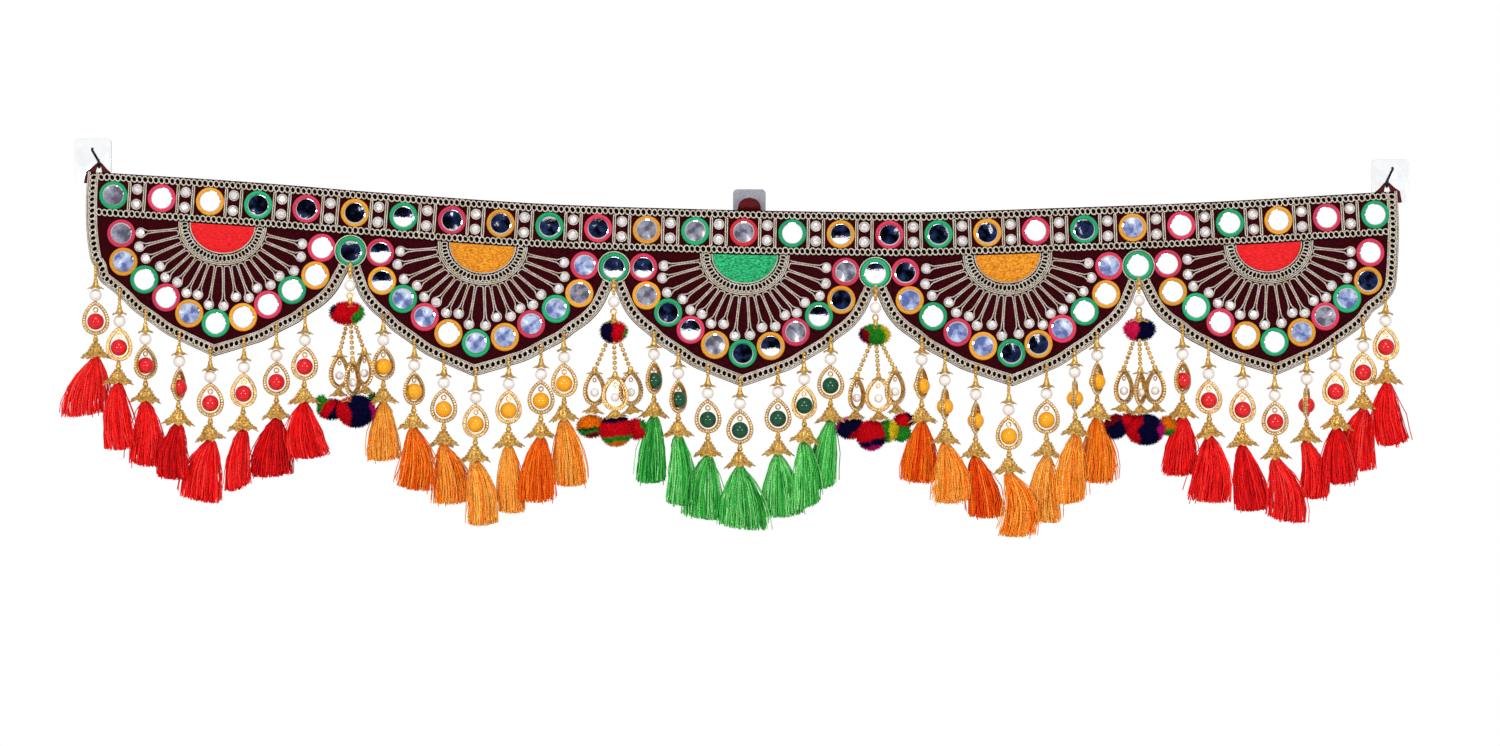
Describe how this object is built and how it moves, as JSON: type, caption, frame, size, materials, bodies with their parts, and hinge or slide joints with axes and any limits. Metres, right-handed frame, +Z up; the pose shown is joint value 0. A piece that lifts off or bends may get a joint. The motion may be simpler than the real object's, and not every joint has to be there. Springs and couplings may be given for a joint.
{
  "type": "beaded toran door hanging on adhesive hooks",
  "caption": "Scalloped felt door hanging with braid, small mirrors, teardrop bead strings, thread tassels and pompoms, hung by ribbon loops on small wall hooks.",
  "frame": {"origin": "middle of the centre hook plate's back face, on the wall", "axes": "+X along the hanging to the viewer's right, +Y into the wall, +Z up"},
  "size_m": [1.046, 0.03, 0.3095],
  "materials": {
    "felt": "matt wool felt",
    "braid": "metallic chain braid",
    "mirror": "small round mirrors in thread rings",
    "satin_red": "satin",
    "satin_orange": "satin",
    "satin_green": "satin",
    "ribbon": "woven ribbon",
    "hook_plate": "clear moulded plastic",
    "hook_wire": "bent steel wire",
    "tassel_red": "glossy viscose thread",
    "tassel_orange": "glossy viscose thread",
    "tassel_green": "glossy viscose thread",
    "pompom": "cut wool",
    "gilt": "gilt wire and stamped metal",
    "bead": "glossy acrylic",
    "pearl": "pearl",
    "thread": "wound cotton thread"
  },
  "bodies": {
    "root": {"felt_panel": "felt", "braid_and_band_mirrors": "braid", "half_moon_1": "satin_red", "half_moon_2": "satin_orange", "half_moon_3": "satin_green", "half_moon_4": "satin_orange", "half_moon_5": "satin_red", "mirror_garland_1": "mirror", "mirror_garland_2": "mirror", "mirror_garland_3": "mirror", "mirror_garland_4": "mirror", "mirror_garland_5": "mirror", "ribbon_loop_left": "ribbon", "ribbon_loop_centre": "ribbon", "ribbon_loop_right": "ribbon", "wall_hook_left": "hook_plate", "wall_hook_centre": "hook_plate", "wall_hook_right": "hook_plate", "string_1_1": "tassel_red", "string_1_2": "tassel_red", "string_1_3": "tassel_red", "string_1_4": "tassel_red", "string_1_5": "tassel_red", "string_1_6": "tassel_red", "string_1_7": "tassel_red", "string_1_8": "tassel_red", "string_2_1": "tassel_orange", "string_2_2": "tassel_orange", "string_2_3": "tassel_orange", "string_2_4": "tassel_orange", "string_2_5": "tassel_orange", "string_2_6": "tassel_orange", "string_2_7": "tassel_orange", "string_3_1": "tassel_green", "string_3_2": "tassel_green", "string_3_3": "tassel_green", "string_3_4": "tassel_green", "string_3_5": "tassel_green", "string_3_6": "tassel_green", "string_3_7": "tassel_green", "string_4_1": "tassel_orange", "string_4_2": "tassel_orange", "string_4_3": "tassel_orange", "string_4_4": "tassel_orange", "string_4_5": "tassel_orange", "string_4_6": "tassel_orange", "string_4_7": "tassel_orange", "string_5_1": "tassel_red", "string_5_2": "tassel_red", "string_5_3": "tassel_red", "string_5_4": "tassel_red", "string_5_5": "tassel_red", "string_5_6": "tassel_red", "string_5_7": "tassel_red", "string_5_8": "tassel_red", "pompom_cluster_1": "pompom", "pompom_cluster_2": "pompom", "pompom_cluster_3": "pompom", "pompom_cluster_4": "pompom"}
  },
  "joints": []
}
